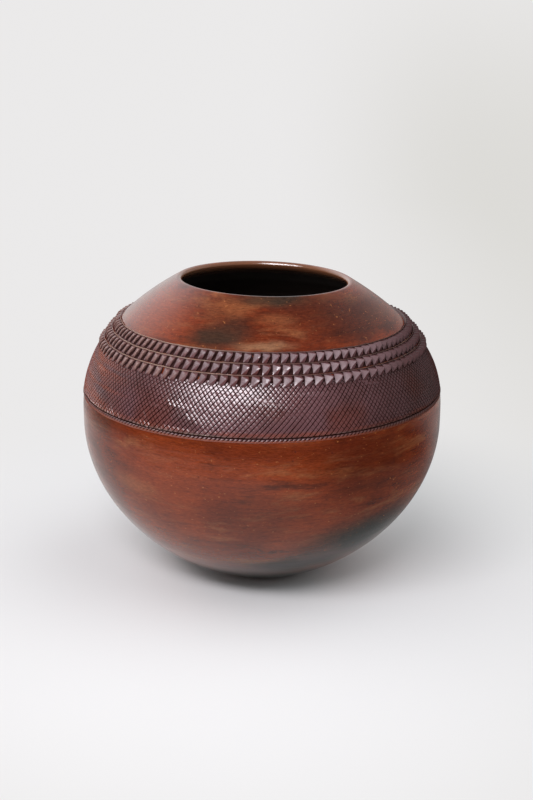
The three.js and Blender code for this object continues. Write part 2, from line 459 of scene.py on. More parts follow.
def noise_of(tree, vector, scale, detail=3.0, roughness=0.55, distortion=0.0, output=0):
    """Noise at a point, as an output socket."""
    return add_node(tree, "ShaderNodeTexNoise", {
        "Vector": vector, "Scale": scale, "Detail": detail, "Roughness": roughness,
        "Distortion": distortion}).outputs[output]


def flattened(tree, vector, times):
    """A vector whose patterns come out flatter by this many times, as marks of rubbing round the pot."""
    return add_node(tree, "ShaderNodeMapping", {"Vector": vector, "Scale": (1.0, 1.0, times)}).outputs[0]


def painted(tree, name):
    """What is painted on a piece under this name."""
    return add_node(tree, "ShaderNodeAttribute", attribute_name=name).outputs["Fac"]


def geometry_tree(name, inputs):
    """An empty geometry tree with its named inputs."""
    tree = bpy.data.node_groups.new(name, "GeometryNodeTree")
    tree.interface.new_socket("Geometry", in_out="INPUT", socket_type="NodeSocketGeometry")
    for label, kind in inputs.items():
        tree.interface.new_socket(label, in_out="INPUT", socket_type=kind)
    tree.interface.new_socket("Geometry", in_out="OUTPUT", socket_type="NodeSocketGeometry")
    return tree, tree.nodes.new("NodeGroupInput").outputs


def pushed(tree, geometry, direction, amount):
    """A mesh with its points moved along a direction."""
    push = add_node(tree, "ShaderNodeVectorMath", {0: direction, "Scale": amount}, operation="SCALE")
    return add_node(tree, "GeometryNodeSetPosition", {
        "Geometry": geometry, "Offset": push.outputs[0]}).outputs[0]


def named(tree, name, kind="FLOAT"):
    """What a mesh stores under a name."""
    return add_node(tree, "GeometryNodeInputNamedAttribute", {"Name": name}, data_type=kind).outputs[0]


def close_tree(tree, geometry, material):
    """Ends a geometry tree in real meshes with their material."""
    real = add_node(tree, "GeometryNodeRealizeInstances", {"Geometry": geometry}).outputs[0]
    dressed = add_node(tree, "GeometryNodeSetMaterial", {"Geometry": real, "Material": material}).outputs[0]
    add_node(tree, "NodeGroupOutput", {"Geometry": dressed})


# Where hand work begins to stray further and where it strays most, along X, and how much further that is
RAGGED_SPAN = (0.03, -0.10)
RAGGED_GAIN = 1.7


def ring_tree():
    """Repeats one cut of clay round the pot, welds the copies and lets them stray as hand work does."""
    tree, given = geometry_tree("cuts_round_the_pot", {
        "Count": "NodeSocketInt", "Stray": "NodeSocketFloat", "Grain": "NodeSocketFloat",
        "Seed": "NodeSocketFloat", "Material": "NodeSocketMaterial"})
    spots = add_node(tree, "GeometryNodeMeshLine", {"Count": given["Count"], "Offset": (0.0, 0.0, 0.0)})
    index = add_node(tree, "GeometryNodeInputIndex").outputs[0]
    turn = math_of(tree, "DIVIDE", product_of(tree, index, TURN), given["Count"])
    spin = add_node(tree, "ShaderNodeCombineXYZ", {"Z": turn}).outputs[0]
    islands = add_node(tree, "GeometryNodeSplitToInstances", {
        "Geometry": given["Geometry"], "Group ID": named(tree, "kind", "INT")})
    chosen = add_node(tree, "FunctionNodeRandomValue", {
        4: 0, 5: 1000, "ID": index, "Seed": 7}, data_type="INT")
    copies = add_node(tree, "GeometryNodeInstanceOnPoints", {
        "Points": spots.outputs[0], "Instance": islands.outputs[0], "Pick Instance": True,
        "Instance Index": chosen.outputs[2], "Rotation": spin})
    real = add_node(tree, "GeometryNodeRealizeInstances", {"Geometry": copies.outputs[0]})
    welded = add_node(tree, "GeometryNodeMergeByDistance", {
        "Geometry": real.outputs[0], "Distance": 0.02 * MM})
    place = add_node(tree, "GeometryNodeInputPosition").outputs[0]
    noise = add_node(tree, "ShaderNodeTexNoise", {
        "Vector": place, "W": given["Seed"], "Scale": given["Grain"], "Detail": 1.0}, noise_dimensions="4D")
    centred = vector_of(tree, "SUBTRACT", noise.outputs["Color"], (0.5, 0.5, 0.5))
    ragged = spread_of(tree, axes_of(tree, place)["X"], *RAGGED_SPAN, 1.0, RAGGED_GAIN)
    moved = pushed(tree, welded.outputs[0], centred, product_of(tree, given["Stray"], ragged))
    close_tree(tree, moved, given["Material"])
    return tree


# Depth at which the floor of a line is painted in its full dark colour, as painted shade
FULLY_SUNK = 0.6 * MM


def hatching_tree():
    """Cuts the deep and the fine lines of the hatching into a sheet that carries its line numbers."""
    tree, given = geometry_tree("cut_hatching", {
        "Stripe Depth": "NodeSocketFloat", "Crossing Depth": "NodeSocketFloat",
        "Stripe Width": "NodeSocketFloat", "Crossing Width": "NodeSocketFloat", "Swelling": "NodeSocketFloat",
        "Material": "NodeSocketMaterial"})

    def away_from(line):
        """How far a point lies from the nearest line, as a share of the gap."""
        return math_of(tree, "PINGPONG", named(tree, line), 0.5)

    def nearness(line, width):
        """1 on a line and 0 from its width away."""
        share = math_of(tree, "MINIMUM", math_of(tree, "DIVIDE", away_from(line), width), 1.0)
        return math_of(tree, "SUBTRACT", 1.0, share)

    place = add_node(tree, "GeometryNodeInputPosition").outputs[0]
    pressure = line_of(tree, noise_of(tree, place, 70.0, 2.0), 1.3, 0.35)
    stripe = product_of(tree, nearness("stripe", given["Stripe Width"]), given["Stripe Depth"], pressure)
    crossing = product_of(tree, nearness("crossing", given["Crossing Width"]), given["Crossing Depth"],
                          pressure, named(tree, "crossed"))
    depth = product_of(tree, math_of(tree, "MAXIMUM", stripe, crossing), named(tree, "open"))
    middle = math_of(tree, "MINIMUM", away_from("stripe"), away_from("crossing"))
    swelling = product_of(tree, middle, named(tree, "open"), given["Swelling"])
    marked = add_node(tree, "GeometryNodeStoreNamedAttribute", {
        "Geometry": given["Geometry"], "Name": "sunk", "Value": product_of(tree, depth, 1 / FULLY_SUNK)})
    moved = pushed(tree, marked.outputs[0], named(tree, "outward", "FLOAT_VECTOR"),
                   math_of(tree, "SUBTRACT", swelling, depth))
    close_tree(tree, moved, given["Material"])
    return tree


# Materials

def clay_material(name):
    """A new material with its main shader and the object's own coordinates."""
    made = bpy.data.materials.new(name)
    made.use_nodes = True
    tree = made.node_tree
    shader = tree.nodes["Principled BSDF"]
    place = add_node(tree, "ShaderNodeTexCoord").outputs["Object"]
    return made, tree, shader, place


def finish_clay(tree, shader, base, dullness, gloss, relief, strength, depth):
    """Joins a clay's colour, dullness, gloss and fine relief to its shader."""
    tree.links.new(base, shader.inputs["Base Color"])
    tree.links.new(dullness, shader.inputs["Roughness"])
    tree.links.new(gloss, shader.inputs["Specular IOR Level"])
    bump = add_node(tree, "ShaderNodeBump", {"Height": relief, "Strength": strength, "Distance": depth})
    tree.links.new(bump.outputs[0], shader.inputs["Normal"])


# Clouds of colour on the burnished wall: azimuth in degrees, height, half width and half height in mm,
# strength, and the colour laid there
# Most are fire clouds; the orange ones lie on the left and most deep ones on the right, so the wall is also
# lighter on its left and darker on its right
FIRE_CLOUDS = (
    (-19, 224, 26, 9, 0.90, "smoke"),
    (-16, 232, 18, 6, 0.50, "smoke"),
    (14, 247, 42, 6.5, 0.95, "smoke"),
    (42, 224, 44, 8, 0.60, "deep"),
    (68, 230, 34, 14, 0.50, "smoke"),
    (5, 149, 80, 9, 0.75, "red"),
    (0, 98, 46, 26, 0.36, "deep"),
    (46, 236, 40, 14, 0.80, "deep"),
    (25, 236, 34, 12, 0.45, "deep"),
    (-1, 220.5, 20, 2.8, 0.90, "ochre"),
    (-60, 231, 44, 18, 0.70, "orange"),
    (-18, 240, 22, 7, 0.55, "tan"),
    (6, 234, 18, 5, 0.45, "tan"),
    (-44, 112, 26, 9, 0.50, "tan"),
    (39, 62, 60, 31, 1.00, "ash"),
    (14, 38, 56, 16, 0.95, "ash"),
    (4, 15, 90, 15, 1.00, "ash"),
    (-56, 150, 24, 16, 0.60, "deep"),
    (35, 128, 56, 40, 0.50, "deep"),
    (-31, 124, 46, 32, 0.55, "orange"),
    (150, 190, 60, 34, 0.70, "smoke"),
    (205, 90, 70, 44, 0.65, "ash"),
    (250, 225, 40, 16, 0.55, "orange"),
    (120, 70, 60, 30, 0.50, "deep"),
)
# How far the smoke drifts from its cloud's even outline
CLOUD_DRIFT = (0.050, 0.050, 0.016)
# Where a cloud ends and where it is full, in half widths from its centre
CLOUD_EDGE = (1.35, 0.25)


def cloud_share(tree, place, outline, cloud):
    """How much of one cloud lies at a point, from its centre on the wall."""
    azimuth, height, half_width, half_height, strength, _ = cloud
    radius = np.interp(height * MM, outline.points[:, 1], outline.points[:, 0])
    centre = around(np.array([radius, height * MM]), math.radians(azimuth))
    away = vector_of(tree, "SUBTRACT", place, tuple(centre))
    squeeze = (1 / (half_width * MM), 1 / (half_width * MM), 1 / (half_height * MM))
    reach = vector_of(tree, "LENGTH", vector_of(tree, "MULTIPLY", away, squeeze))
    return product_of(tree, ramp_of(tree, reach, *CLOUD_EDGE), strength)


def burnished_clay(colours, outline):
    """Red-brown clay rubbed smooth with a pebble, with streaks, pits and fire clouds."""
    made, tree, shader, place = clay_material("rubbed_wall")
    drift = vector_of(tree, "SUBTRACT", noise_of(tree, place, 22.0, 3.0, output="Color"), (0.5, 0.5, 0.5))
    smoky_place = vector_of(tree, "ADD", place, vector_of(tree, "MULTIPLY", drift, CLOUD_DRIFT))
    broad = noise_of(tree, place, 11.0, 4.0)
    rubbed = noise_of(tree, flattened(tree, place, 11.0), 30.0, 5.0, 0.7)
    fine = noise_of(tree, flattened(tree, place, 5.0), 260.0, 4.0, 0.75)
    patches = noise_of(tree, flattened(tree, place, 4.0), 22.0, 5.0, 0.6, 0.3)
    flecks = noise_of(tree, flattened(tree, place, 1.6), 330.0, 2.0, 0.5)

    base = blend_of(tree, ramp_of(tree, broad, 0.36, 0.66), colours.red, colours.orange)
    base = wash(tree, ramp_of(tree, rubbed, 0.42, 0.75), 0.55, base, colours.deep)
    base = wash(tree, ramp_of(tree, patches, 0.50, 0.72), 0.75, base, colours.tan)
    base = wash(tree, ramp_of(tree, patches, 0.49, 0.26), 0.85, base, colours.deep)
    burnt = 0.0
    for cloud in FIRE_CLOUDS:
        share = cloud_share(tree, smoky_place, outline, cloud)
        base = blend_of(tree, share, base, getattr(colours, cloud[-1]))
        if cloud[-1] == "ash":
            burnt = math_of(tree, "MAXIMUM", share, burnt)
    shade = line_of(tree, fine, 2.4, -0.20)
    grain = add_node(tree, "ShaderNodeCombineColor", {0: shade, 1: shade, 2: shade}).outputs[0]
    base = blend_of(tree, 0.80, base, grain, mode="MULTIPLY")
    pits = add_node(tree, "ShaderNodeTexVoronoi", {"Vector": place, "Scale": 150.0, "Randomness": 1.0})
    pit = product_of(tree, ramp_of(tree, pits.outputs["Distance"], 0.16, 0.06),
                     ramp_of(tree, noise_of(tree, place, 60.0, 1.0), 0.60, 0.66))
    base = wash(tree, pit, 0.6, base, colours.deep)
    base = wash(tree, ramp_of(tree, flecks, 0.68, 0.76), 0.55, base, colours.gold)
    inside, lip = painted(tree, "inside"), painted(tree, "lip")
    # Painted highlight: the lip's crest and the inner face below it are washed in ochre
    base = wash(tree, lip, 0.6, base, colours.ochre)
    # The inside turns to soot: smoke-blackened clay and painted shade of the dark inside
    base = blend_of(tree, inside, base, colours.soot_and_shade)

    dullness = math_of(tree, "ADD", line_of(tree, rubbed, 0.20, 0.07), product_of(tree, inside, 0.4))
    gloss = line_of(tree, burnt, -0.32, line_of(tree, lip, 0.8, 0.5))
    relief = math_of(tree, "SUBTRACT", line_of(tree, fine, 0.25, rubbed), pit)
    finish_clay(tree, shader, base, dullness, gloss, relief, 0.28, 0.6 * MM)
    return made


def carved_clay(colours):
    """Clay cut when leather-hard: glossy knife cuts and pale worn edges with painted highlights, dull skin,
    and painted shade in dark floors and on the right.
    """
    made, tree, shader, place = clay_material("cut_wall")
    sunk, worn, cut, skin, proud = (painted(tree, name) for name in ("sunk", "worn", "cut", "skin", "proud"))
    across = axes_of(tree, place)["X"]
    # Painted shade on the right, away from the lamp: darker and duller there
    shade_on_right = ramp_of(tree, across, 0.045, 0.125)
    broad = noise_of(tree, place, 30.0, 3.0)
    patches = noise_of(tree, place, 16.0, 2.0)
    fine = noise_of(tree, place, 420.0, 3.0, 0.6)

    face = wash(tree, ramp_of(tree, broad, 0.4, 0.7), 0.5, colours.carved, colours.deep)
    face = wash(tree, ramp_of(tree, patches, 0.50, 0.68), 0.6, face, colours.red)
    # Skin in the orange of the belly, with painted light over the band's left side
    face = blend_of(tree, skin, face, colours.orange)
    face = wash(tree, shade_on_right, 0.7, face, colours.cut)
    # Painted highlight: knife-cut facets turn pale lavender, most in the middle and less to the left and the
    # right
    knife_sheen = product_of(tree, cut, spread_of(tree, across, -0.10, -0.03, 0.75, 1.0),
                       line_of(tree, shade_on_right, -0.9, 1.0))
    face = blend_of(tree, knife_sheen, face, colours.knife_cut_and_sheen)
    # Painted highlight: the raised parts of the teeth on the left turn pale
    lit_left_tops = product_of(tree, ramp_of(tree, proud, 0.5 * MM, 2.5 * MM), 0.85,
                         ramp_of(tree, across, -0.035, -0.095))
    face = blend_of(tree, lit_left_tops, face, colours.skin)
    # Painted shade in the floors of notches, grooves and nicks
    face = wash(tree, ramp_of(tree, sunk, 0.1, 0.8), 0.9, face, colours.cut)
    # Painted highlight with wear on the pale edges, stronger on the left where the lamp is
    face = wash(tree, worn, spread_of(tree, across, 0.00, -0.06, 0.26, 0.95), face, colours.dust_and_highlight)

    dullness = line_of(tree, cut, -0.03, line_of(tree, fine, 0.2, 0.20))
    edge_on = add_node(tree, "ShaderNodeLayerWeight", {"Blend": 0.5}).outputs["Facing"]
    soft = product_of(tree, cut, ramp_of(tree, across, 0.0, 0.055))
    gloss = product_of(tree, line_of(tree, cut, -0.25, 0.95), line_of(tree, shade_on_right, -0.8, 1.0),
                       line_of(tree, soft, -0.75, 1.0), ramp_of(tree, edge_on, 0.85, 0.35),
                       ramp_of(tree, sunk, 0.5, 0.02))
    finish_clay(tree, shader, face, dullness, gloss, fine, 0.25, 0.3 * MM)
    return made


# What the backdrop shows on the left and behind the pot on the right
BACKDROP_PALE = (0.83, 0.82, 0.82)
BACKDROP_DIM = (0.72, 0.71, 0.685)
# Middle of the pot, from which its polish sees the room, and of the pale table in that view
POT_MIDDLE = (0.0, 0.0, 0.15)
TABLE_MIDDLE = (-0.12, 0.0, 0.0)
TABLE_FADE = 1.28


def plain_floor(name, studio):
    """Matt pale surface that is lit and shaded near the pot and shows its own colour far from it."""
    made, tree, shader, place = clay_material(name)
    mottle = noise_of(tree, place, 5.0, 2.0)
    paler = tuple(min(1.0, 1.03 * c) for c in studio.floor)
    tree.links.new(blend_of(tree, mottle, studio.floor, paler), shader.inputs["Base Color"])
    shader.inputs["Roughness"].default_value = 0.9
    shader.inputs["Specular IOR Level"].default_value = 0.1
    axes = axes_of(tree, place)
    path = add_node(tree, "ShaderNodeLightPath").outputs

    dim = product_of(tree, ramp_of(tree, axes["X"], 0.0, 0.6), ramp_of(tree, axes["Z"], 0.8, 0.0))
    glow = add_node(tree, "ShaderNodeEmission", {"Color": blend_of(tree, dim, BACKDROP_PALE, BACKDROP_DIM)})
    reach = vector_of(tree, "LENGTH", place)
    seen = path["Is Camera Ray"]
    for kind in ("Is Glossy Ray", "Is Transmission Ray"):
        seen = math_of(tree, "MAXIMUM", seen, path[kind])
    share = product_of(tree, seen, ramp_of(tree, reach, studio.near, studio.far))
    both = add_node(tree, "ShaderNodeMixShader", {0: share, 1: shader.outputs[0], 2: glow.outputs[0]})

    heading = vector_of(tree, "NORMALIZE", vector_of(tree, "SUBTRACT", place, POT_MIDDLE))
    side = choice_of(tree, ramp_of(tree, axes["X"], 0.22, -0.06), studio.table_right, studio.table_left)
    away = vector_of(tree, "DISTANCE", place, TABLE_MIDDLE)
    fade = ramp_of(tree, away, TABLE_FADE * studio.table_edge, studio.table_edge)
    table = product_of(tree, side, fade)
    further = math_of(tree, "MAXIMUM", fade, ramp_of(tree, axes["Y"], 0.35, 0.60))
    low = product_of(tree, side, further, ramp_of(tree, axes["Z"], 0.5, 0.0))
    back = math_of(tree, "MAXIMUM", room_strength(tree, heading, studio), low)
    mirrored = choice_of(tree, ramp_of(tree, axes["Y"], 0.0, 0.3), table, back)
    reflected = add_node(tree, "ShaderNodeEmission", {"Strength": mirrored})
    clear = add_node(tree, "ShaderNodeMixShader", {
        0: ramp_of(tree, reach, 0.06, 0.17), 1: shader.outputs[0], 2: reflected.outputs[0]})
    surface = add_node(tree, "ShaderNodeMixShader", {
        0: path["Is Glossy Ray"], 1: both.outputs[0], 2: clear.outputs[0]})
    tree.links.new(surface.outputs[0], tree.nodes["Material Output"].inputs["Surface"])
    return made


# Directions from the pot: the bright side of the room, the pale wall, the window behind the camera and the
# fills from the left and the right, which stand this far out and up
BRIGHT_SIDE = (-0.43, 0.75, 0.50)
PALE_SIDE = (0.75, 0.64, 0.16)
WINDOW_SIDE = (-0.32, -0.66, 0.67)
FILL_OUT = 0.85
FILL_UP = 0.75


def facing(tree, heading, side):
    """How squarely a heading faces a side of the room: 1 straight at it."""
    return vector_of(tree, "DOT_PRODUCT", heading, tuple(Vector(side).normalized()))


def room_strength(tree, heading, studio):
    """How bright the room is in a direction: brightest behind the pot on the left."""
    left = spread_of(tree, facing(tree, heading, BRIGHT_SIDE), 0.60, 1.0, 0.0, studio.sky)
    left = line_of(tree, left, ramp_of(tree, axes_of(tree, heading)["Z"], 0.95, 0.58), studio.gloom)
    right = product_of(tree, ramp_of(tree, facing(tree, heading, PALE_SIDE), 0.60, 0.95), studio.pale_wall)
    return math_of(tree, "ADD", left, right)


def room_light(studio):
    """Light of the room all round."""
    world = bpy.data.worlds.new("room_light")
    world.use_nodes = True
    tree = world.node_tree
    heading = add_node(tree, "ShaderNodeTexCoord").outputs["Generated"]
    surface = tree.nodes["Background"]
    surface.inputs["Color"].default_value = (0.94, 0.96, 1.0, 1.0)
    path = add_node(tree, "ShaderNodeLightPath").outputs
    matt = product_of(tree, ramp_of(tree, axes_of(tree, heading)["Z"], 0.15, 0.80), studio.ceiling)
    for out, strength in ((-FILL_OUT, studio.left_fill), (FILL_OUT, studio.right_fill)):
        beside = ramp_of(tree, facing(tree, heading, (out, 0.0, FILL_UP)), 0.60, 0.95)
        matt = line_of(tree, beside, strength, matt)
    window = product_of(tree, ramp_of(tree, facing(tree, heading, WINDOW_SIDE), 0.86, 0.97), studio.window)
    more = choice_of(tree, path["Is Glossy Ray"], matt, window)
    share = choice_of(tree, path["Is Glossy Ray"], 0.6, 1.0)
    lit = line_of(tree, room_strength(tree, heading, studio), share, more)
    tree.links.new(choice_of(tree, path["Is Camera Ray"], lit, 0.85), surface.inputs["Strength"])
    return world


def shared_material(name):
    """A clay material, made the first time that a piece asks for it."""
    if name in bpy.data.materials:
        return bpy.data.materials[name]
    pot = bpy.context.scene.beer_pot
    if name == "rubbed_wall":
        return burnished_clay(pot.colours, Outline(pot.wall))
    return carved_clay(pot.colours)


# How far the band runs on under the lowest ridge, as a share of the ridge's width
BAND_UNDER_RIDGE = 0.4


def landmarks(pot, outline):
    """Distances along the wall of the border, the band and the ridges' heels."""
    border = outline.distance_at(BORDER_HEIGHT)
    first_heel = outline.distance_at(LOWEST_HEEL)
    return {
        "border": border,
        "band_start": border + pot.hatching.lip + pot.hatching.groove,
        "band_end": first_heel + BAND_UNDER_RIDGE * pot.ridges.width,
        "heels": [first_heel + k * pot.ridges.pitch for k in range(3)],
    }


# Rings of the wall's mesh up the outside, over the lip and down the inside
OUTER_RINGS = 130
LIP_RINGS = 12
INNER_RINGS = 60
# Rings of the base and of the floor inside, as shares of their radius
BASE_SHARES = (0.33, 0.66, 0.97)
FLOOR_SHARES = (0.92, 0.6, 0.3)
# Where the band's bed begins, as a share of the border that hides its edge, and how steep its edges are
BED_START = 0.45
BED_EDGE = 0.2 * MM
# How far from the lip the inside begins, and how far above the floor it ends
INSIDE_START = 4 * MM
INSIDE_END = 1 * MM
# Height up to which the base holds the wall true
TRUE_HEIGHT = 20 * MM
# Distance over the lip where the soot begins, and the distance over which it thickens: smoke-blackened clay
# that is also painted shade of the dark inside
SOOT_START = 13 * MM
SOOT_SPAN = 9 * MM
# Rings of the lip before its paler crest, from which a painted highlight runs over the lip and down its inner
# face
BARE_LIP_RINGS = 4


def wall_section(pot, outline):
    """Radius and height of the wall's rings from the base to the floor inside, and the lip's first ring."""
    wall = pot.wall
    marks = landmarks(pot, outline)
    bed_start, bed_end = marks["border"] + BED_START * pot.hatching.lip, marks["band_end"]
    bed = [bed_start, bed_start + BED_EDGE, bed_end - BED_EDGE, bed_end]
    outer = np.unique(np.concatenate([np.linspace(0, outline.length, OUTER_RINGS), bed]))
    sunk = np.where((outer > bed_start) & (outer < bed_end), -pot.hatching.bed, 0.0)
    turns = np.linspace(wall.shoulder_angle, -math.pi / 2, LIP_RINGS)[1:]
    drop = wall.lip_radius * math.cos(wall.shoulder_angle)
    centre = np.array([wall.mouth_radius, outline.lip_start.y - drop])
    lip = centre + wall.lip_radius * np.stack([np.sin(turns), np.cos(turns)], axis=1)
    inner = np.linspace(outline.length - INSIDE_START, 0, INNER_RINGS)
    inside = outline.at(inner, np.full(len(inner), -wall.thickness))
    inside = inside[inside[:, 1] > wall.floor + INSIDE_END]
    base = [(wall.base_radius * share, 0.0) for share in BASE_SHARES]
    floor = [(inside[-1][0] * share, wall.floor) for share in FLOOR_SHARES]
    return np.vstack([base, outline.at(outer, sunk), lip, inside, floor]), len(base) + len(outer)


class VesselBuilder(bpy.types.Operator):
    """Builds the burnished wall as one continuous shell, from the base to the lip and down the inside"""

    bl_idname = "beer_pot.add_vessel"
    bl_label = "Burnished Vessel"

    def execute(self, context):
        pot = context.scene.beer_pot
        wall = pot.wall
        section, lip_start = wall_section(pot, Outline(wall))
        columns = len(section)
        azimuths = np.arange(wall.segments) * TURN / wall.segments
        phi, radius = np.meshgrid(azimuths, section[:, 0], indexing="ij")
        height = np.broadcast_to(section[:, 1], phi.shape)
        free = np.clip(height / TRUE_HEIGHT, 0, 1)
        radius = radius + (waver(phi, height, 1.0) - 1) * 0.5 * wall.unevenness * free
        points = around(np.stack([radius, height], axis=-1), phi).reshape(-1, 3)
        middles = [[0, 0, 0], [0, 0, wall.floor]]
        points = np.vstack([settle(points, wall), middles])
        faces = list(ring_faces(wall.segments, columns))
        under, above = len(points) - 2, len(points) - 1
        for i in range(wall.segments):
            after = (i + 1) % wall.segments
            faces.append((under, after * columns, i * columns))
            faces.append((above, i * columns + columns - 1, after * columns + columns - 1))
        vessel = mesh_object("burnished_vessel", points, faces)

        steps = np.linalg.norm(np.diff(section[lip_start:], axis=0), axis=1)
        along = np.concatenate([[0], np.cumsum(steps)])
        inside, lip = np.zeros(columns), np.zeros(columns)
        # The inside's soot, which is also its painted shade, thickens from a little below the lip
        inside[lip_start:] = np.clip((along - SOOT_START) / SOOT_SPAN, 0, 1)
        # The lip's crest and the inner face below it carry a painted highlight
        crest = lip_start + BARE_LIP_RINGS
        lip[crest:crest + LIP_RINGS] = 1.0
        paint(vessel.data, inside=np.append(np.tile(inside, wall.segments), [0, 1]),
              lip=np.append(np.tile(lip, wall.segments), [0, 0]))
        vessel.data.materials.append(shared_material("rubbed_wall"))
        finish_piece(vessel, "burnished_clay", "base_pad", *[f"wall_coil_{k}" for k in range(1, 6)],
                     "ridge_coil", "shoulder_coil", "rim_coil")
        return {"FINISHED"}


# The cut of one tooth: rows run down the ridge, as (share of its width, proud as a share of the crest)
LEDGE_ROWS = ((0.000, -0.20), (0.010, 0.30), (0.034, 0.44), (0.062, 0.34))
CREST_PLACE = 0.47
SLOPE_ROWS = (0.095, 0.210, 0.345, CREST_PLACE, 0.590, 0.715, 0.845, 0.955)
HEEL_ROW = (1.000, -0.20)
# The share of its height that a tooth loses above and below its crest, and the widths over which it does
CREST_FALL = 0.80
FALL_WIDTHS = (0.36, 0.50)
# Along a tooth, in shares of its length: the start of the notch, and how much wider the notch gets towards
# the tooth's upper and lower edge
NOTCH_START = 0.80
NOTCH_SPREAD = (-0.30, 0.62)
# The nearest place of the facet's upper edge, its least distance from the notch, and the width of that edge
FACET_NEAREST = 0.04
FACET_GAP = 0.09
FACET_EDGE = 0.05
# How far the notch's side reaches to both sides of its start, and where its floor ends
NOTCH_SIDE = (0.02, 0.03)
NOTCH_END = 0.975
# How hollow the knife leaves the facet
FACET_HOLLOW = 0.12 * MM
# The ledge's rows that stand out more than this share of the crest are worn pale, with a painted highlight
PALE_EDGE_LIFT = 0.32
# Each kind of tooth: where its facet's point lies, how round its back is, how far its notch leans
TOOTH_KINDS = ((0.70, 1.00, 0.10), (0.66, 1.45, 0.13), (0.73, 1.15, 0.08), (0.63, 1.80, 0.14),
               (0.68, 1.25, 0.05))


def tooth(outline, heel, sizes, teeth, kind):
    """One tooth of a ridge, spanning one share of a turn: its points, its faces, which faces are cut, and for
    each point how proud it is, how much painted shade it gets and how worn it is, with a painted highlight."""
    reach, roundness, lean = TOOTH_KINDS[kind]
    climb = (sizes.crest_proud - sizes.facet_start) / reach
    rows = [(down, lift, True) for down, lift in LEDGE_ROWS]
    for down in SLOPE_ROWS:
        side = abs(down - CREST_PLACE) / FALL_WIDTHS[down > CREST_PLACE]
        rows.append((down, 1.0 - CREST_FALL * side ** roundness, False))
    rows.append((*HEEL_ROW, True))
    grid = []
    for down, lift, plain in rows:
        # Painted shade: a tooth's back darkens where it falls from the crest, its notch is dark and its ends
        # a little
        shaded = 0.05 + 0.30 * (1.0 - lift)
        notch = NOTCH_START - (down - CREST_PLACE) * NOTCH_SPREAD[down > CREST_PLACE]
        proud = lift * sizes.crest_proud
        first = min(sizes.facet_start, proud)
        climbed = max(0.0, (proud - sizes.facet_start) / climb)
        leaves = min(FACET_NEAREST + climbed * (1.0 - FACET_NEAREST), notch - FACET_GAP)
        stops = ((0.0, first, 0.3), (leaves * 0.5, (first + proud) / 2 - FACET_HOLLOW, 0.0),
                 (leaves, proud, 0.0), (leaves + FACET_EDGE, proud, shaded),
                 (notch - NOTCH_SIDE[0], proud, shaded), (notch + NOTCH_SIDE[1], sizes.notch_floor, 1.0),
                 (NOTCH_END, sizes.notch_floor, 1.0), (1.0, first, 0.3))
        for along, high, sunk in stops:
            if plain:
                grid.append((along, down, proud, 0.0, float(lift > PALE_EDGE_LIFT)))
            else:
                grid.append((along + lean * (0.5 - down), down, high, sunk, 0.0))
    flat = np.array(grid).reshape(len(rows), -1, 5)
    section = outline.at(heel + sizes.width * (1 - flat[..., 1]), flat[..., 2])
    points = around(section, flat[..., 0] * TURN / teeth).reshape(-1, 3)
    columns = flat.shape[1]
    cut = [float(j < 2 and len(LEDGE_ROWS) <= i < len(rows) - 2)
           for i in range(len(rows)) for j in range(columns - 1)]
    return points, ring_faces(len(rows), columns), cut, flat[..., 2:].reshape(-1, 3)


def swollen(mesh, outline, swell):
    """A ridge's points moved out on the right and in on the left, by a share of how proud they stand."""
    points = read_points(mesh)
    proud = np.empty(len(points), dtype=np.float32)
    mesh.attributes["proud"].data.foreach_get("value", proud)
    distance = np.interp(points[:, 2], outline.points[:, 1], outline.distances)
    azimuth = np.arctan2(points[:, 0], -points[:, 1])
    out = outline.at(distance, np.full(len(points), 1 * MM)) - outline.at(distance)
    push = swell * np.sin(azimuth) * np.clip(proud, 0, None) / MM
    return points + around(out * push[:, None], azimuth)


class RidgeBuilder(bpy.types.Operator):
    """Builds the three notched ridges, each tooth a cut of its own"""

    bl_idname = "beer_pot.add_ridges"
    bl_label = "Notched Ridges"

    def execute(self, context):
        pot = context.scene.beer_pot
        outline = Outline(pot.wall)
        tree = ring_tree()
        heels = landmarks(pot, outline)["heels"]
        for row, name in enumerate(("lower", "middle", "upper")):
            teeth = getattr(pot.ridges, f"teeth_{name}")
            points, faces, cut, marks, kinds = [], [], [], [], []
            for kind in range(len(TOOTH_KINDS)):
                more, shapes, sliced, marked = tooth(outline, heels[row], pot.ridges, teeth, kind)
                faces += [tuple(v + len(points) for v in face) for face in shapes]
                points += list(more)
                cut += sliced
                marks += list(marked)
                kinds += [kind] * len(more)
            ridge = mesh_object(f"{name}_notched_ridge", points, faces)
            proud, sunk, worn = np.array(marks).T
            paint(ridge.data, sunk=sunk, worn=worn, proud=proud)
            paint(ridge.data, "FACE", cut=cut)
            name_kinds(ridge.data, kinds)
            bake_nodes(ridge, tree, {
                "Count": teeth, "Stray": 2 * pot.ridges.wander, "Grain": 90.0, "Seed": 1.7 * row})
            write_points(ridge.data, settle(swollen(ridge.data, outline, pot.ridges.swell), pot.wall))
            shade(ridge.data, sharp=38)
            finish_piece(ridge, "carved_clay", f"{name}_ridge")
        return {"FINISHED"}


# Where the mesh of the hatching has its points between one line and the next
STRIPE_PARTS = (0.0, 0.13, 0.5, 0.87)
CROSSING_PARTS = (0.0, 0.15, 0.5, 0.85)
# How far a line strays from its even place, as a share of the gap between two
LINE_STRAY = 0.28
# What varies round the band, as (turns, climb): the places and slopes of the lines, and the patches
LINE_WAVES = ((7, 0), (31, 0), (67, 0))
SLOPE_WAVES = ((2, 0), (5, 0))
PATCH_WAVES = ((4, 20), (9, 35), (14, 50))
# How far the band's edges are tucked in, and the share of its width over which they are
EDGE_TUCK = 0.5 * MM
EDGE_SHARE = 0.02
BAND_PAINT = ("stripe", "crossing", "crossed", "open", "worn", "skin")


